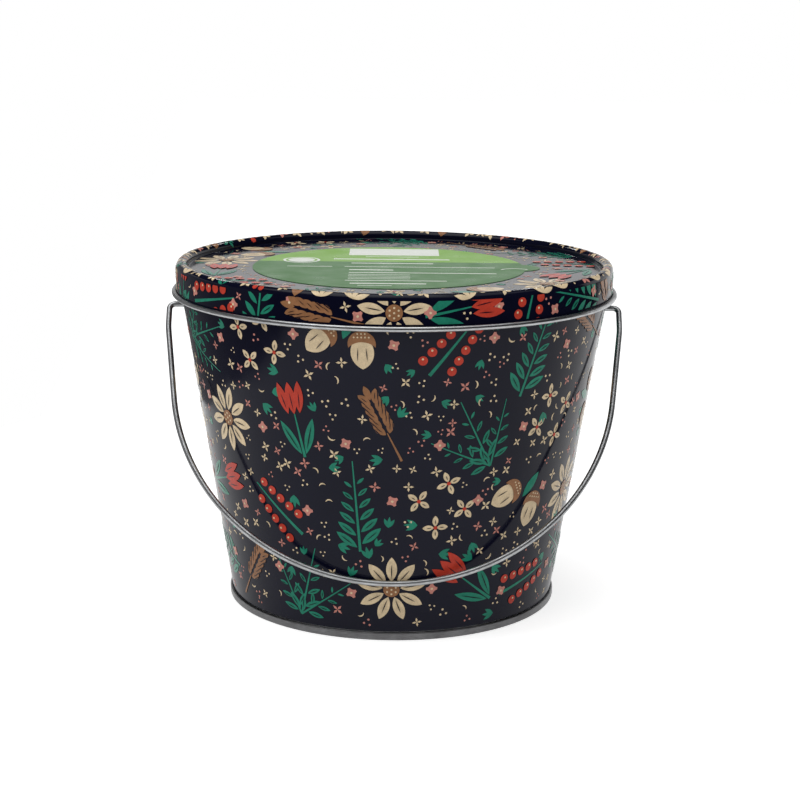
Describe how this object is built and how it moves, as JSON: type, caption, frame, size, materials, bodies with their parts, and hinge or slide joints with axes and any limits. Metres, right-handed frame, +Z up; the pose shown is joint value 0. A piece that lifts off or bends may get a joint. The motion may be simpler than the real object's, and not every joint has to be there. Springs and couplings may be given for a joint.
{
  "type": "citronella candle bucket",
  "caption": "Tapered round printed tin candle bucket with a slip lid, a wire bail that swings over it, wicks in poured wax and a double-seamed base.",
  "frame": {"origin": "centre of the foot, on the surface that the bucket stands on", "axes": "+Z up along the bucket's axis, X along the bail's pivot, -Y the front, where the bail hangs"},
  "size_m": [0.183, 0.1778, 0.1372],
  "materials": {
    "printed_wall": "gloss",
    "printed_lid": "gloss",
    "bare_tin": "bright",
    "bail_wire": "galvanised",
    "label": "coated",
    "wax": "waxy",
    "wick": "braided",
    "sustainer": "bright",
    "ink_cream": "gloss",
    "ink_green": "gloss",
    "ink_pink": "gloss",
    "ink_brown": "gloss",
    "ink_red": "gloss"
  },
  "bodies": {
    "bucket": {"bucket_wall": "printed_wall", "bucket_base": "bare_tin", "wax": "wax", "wick_1": "wick", "wick_2": "wick", "wick_3": "wick", "wick_sustainer_1": "sustainer", "wick_sustainer_2": "sustainer", "wick_sustainer_3": "sustainer", "wall_print_cream": "ink_cream", "wall_print_green": "ink_green", "wall_print_pink": "ink_pink", "wall_print_brown": "ink_brown", "wall_print_red": "ink_red"},
    "lid": {"lid": "printed_lid", "lid_label": "label", "lid_print_cream": "ink_cream", "lid_print_green": "ink_green", "lid_print_pink": "ink_pink", "lid_print_brown": "ink_brown", "lid_print_red": "ink_red"},
    "bail": {"bail": "bail_wire"}
  },
  "joints": [
    {"name": "bail_swing", "type": "hinge", "parent": "bucket", "child": "bail", "pos_m": [0, 0, 0.118], "axis": [-1, 0, 0], "range_deg": [0, 286]},
    {"name": "lid_lift", "type": "slide", "parent": "bucket", "child": "lid", "axis": [0, 0, 1], "range_m": [0, 0.1]}
  ]
}
